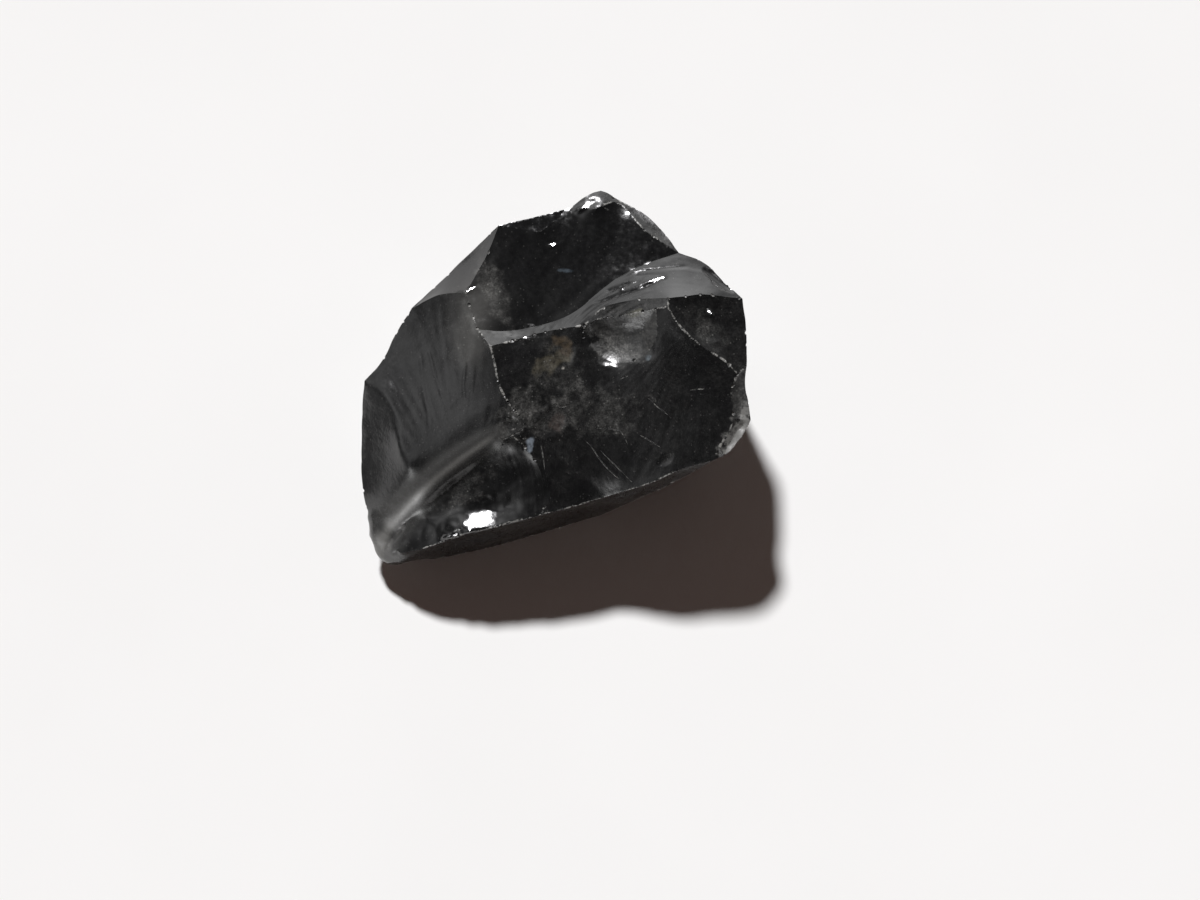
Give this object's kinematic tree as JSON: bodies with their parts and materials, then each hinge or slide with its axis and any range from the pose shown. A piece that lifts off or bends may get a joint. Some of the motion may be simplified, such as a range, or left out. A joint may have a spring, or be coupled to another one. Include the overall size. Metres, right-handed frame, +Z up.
{
  "type": "rough spinel crystal",
  "caption": "Opaque black rough spinel fragment with glassy shell-shaped fracture faces, sharp chipped ridges and a tapering nose, lying on a flat broken foot.",
  "frame": {"origin": "centre of the stone's plan on the surface it lies on", "axes": "+Z up from the resting face, +X to the right and +Y to the back with the tapering nose at the front left"},
  "size_m": [0.0196, 0.0178, 0.011],
  "materials": {
    "black_spinel": "glassy, opaque black, with shell-shaped fracture scars, worn pale ridges and lightly frosted patches"
  },
  "bodies": {
    "root": {"spinel_crystal": "black_spinel"}
  },
  "joints": []
}
